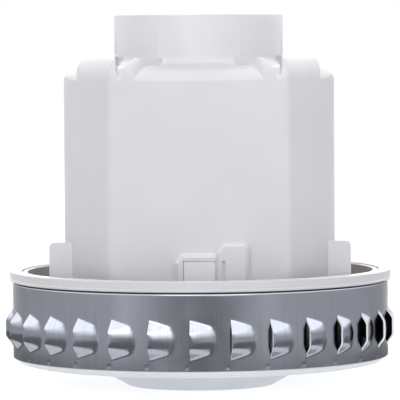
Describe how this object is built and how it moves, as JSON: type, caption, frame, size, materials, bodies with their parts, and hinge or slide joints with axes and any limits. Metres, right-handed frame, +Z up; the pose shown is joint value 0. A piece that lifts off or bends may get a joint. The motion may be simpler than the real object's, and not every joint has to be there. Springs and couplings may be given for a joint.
{
  "type": "vacuum motor unit",
  "caption": "Suction motor unit for a vacuum cleaner: a faceted motor cover with a round cooling tube, on a flat drum fan case with louvred air outlets and a bottom inlet.",
  "frame": {"origin": "centre of the boss face round the suction inlet, on the shaft's axis, at the lowest level of the unit", "axes": "+Z up the shaft towards the cooling tube; -Y out of the front face with the terminal hood; +X to the right seen from the front"},
  "size_m": [0.15, 0.15, 0.142],
  "materials": {
    "cover_plastic": "satin moulded, light cool grey",
    "rim_plastic": "satin moulded, light grey",
    "band_steel": "vertical brushed streaks",
    "plate_plastic": "satin moulded, bluish white",
    "bracket_plastic": "fine moulded texture, warm grey",
    "bearing_steel": "ground",
    "felt": "pressed felt",
    "core_steel": "edges of stamped sheets",
    "insulator_plastic": "moulded",
    "copper_wire": "varnished winding",
    "screw_steel": "zinc plated",
    "shaft_steel": "ground",
    "commutator_copper": "turned",
    "impeller_aluminium": "rolled sheet",
    "fan_plastic": "moulded black",
    "holder_brass": "drawn tube",
    "carbon": "pressed graphite",
    "spring_steel": "drawn wire",
    "bracket_aluminium": "die cast",
    "terminal_brass": "tin plated",
    "terminal_plastic": "moulded grey"
  },
  "bodies": {
    "housing": {"bottom_plate": "plate_plastic", "louvre_band": "band_steel", "rim_ring": "rim_plastic", "lower_bracket": "bracket_plastic", "lower_bearing_outer_ring": "bearing_steel", "upper_bearing_outer_ring": "bearing_steel", "shaft_seal": "felt", "stator_core": "core_steel", "pole_insulator_front": "insulator_plastic", "pole_insulator_rear": "insulator_plastic", "field_coil_front": "copper_wire", "field_coil_rear": "copper_wire", "stator_screws": "screw_steel", "brush_holder_left": "holder_brass", "brush_holder_right": "holder_brass", "brush_spring_left": "spring_steel", "brush_spring_right": "spring_steel", "upper_bracket": "bracket_aluminium", "motor_cover": "cover_plastic", "terminal_blades": "terminal_brass", "terminal_block": "terminal_plastic"},
    "rotor": {"shaft": "shaft_steel", "rotor_core": "core_steel", "armature_winding": "copper_wire", "commutator": "commutator_copper", "cooling_fan": "fan_plastic", "impeller_back_plate": "impeller_aluminium", "impeller_blades": "impeller_aluminium", "impeller_front_plate": "impeller_aluminium", "impeller_washers": "screw_steel", "impeller_nut": "screw_steel", "spacer_sleeve": "shaft_steel", "lower_bearing_inner_ring": "bearing_steel", "upper_bearing_inner_ring": "bearing_steel"},
    "left_brush": {"carbon_brush_left": "carbon"},
    "right_brush": {"carbon_brush_right": "carbon"}
  },
  "joints": [
    {"name": "rotor_spin", "type": "hinge", "parent": "housing", "child": "rotor", "pos_m": [0, 0, 0.06], "axis": [0, 0, 1], "continuous": true},
    {"name": "brush_left_slide", "type": "slide", "parent": "housing", "child": "left_brush", "axis": [-1, 0, 0], "range_m": [0, 0.004], "stiffness_N_per_m": 300, "springref_m": -0.008, "deforming": ["brush_spring_left"]},
    {"name": "brush_right_slide", "type": "slide", "parent": "housing", "child": "right_brush", "axis": [1, 0, 0], "range_m": [0, 0.004], "stiffness_N_per_m": 300, "springref_m": -0.008, "deforming": ["brush_spring_right"]}
  ]
}
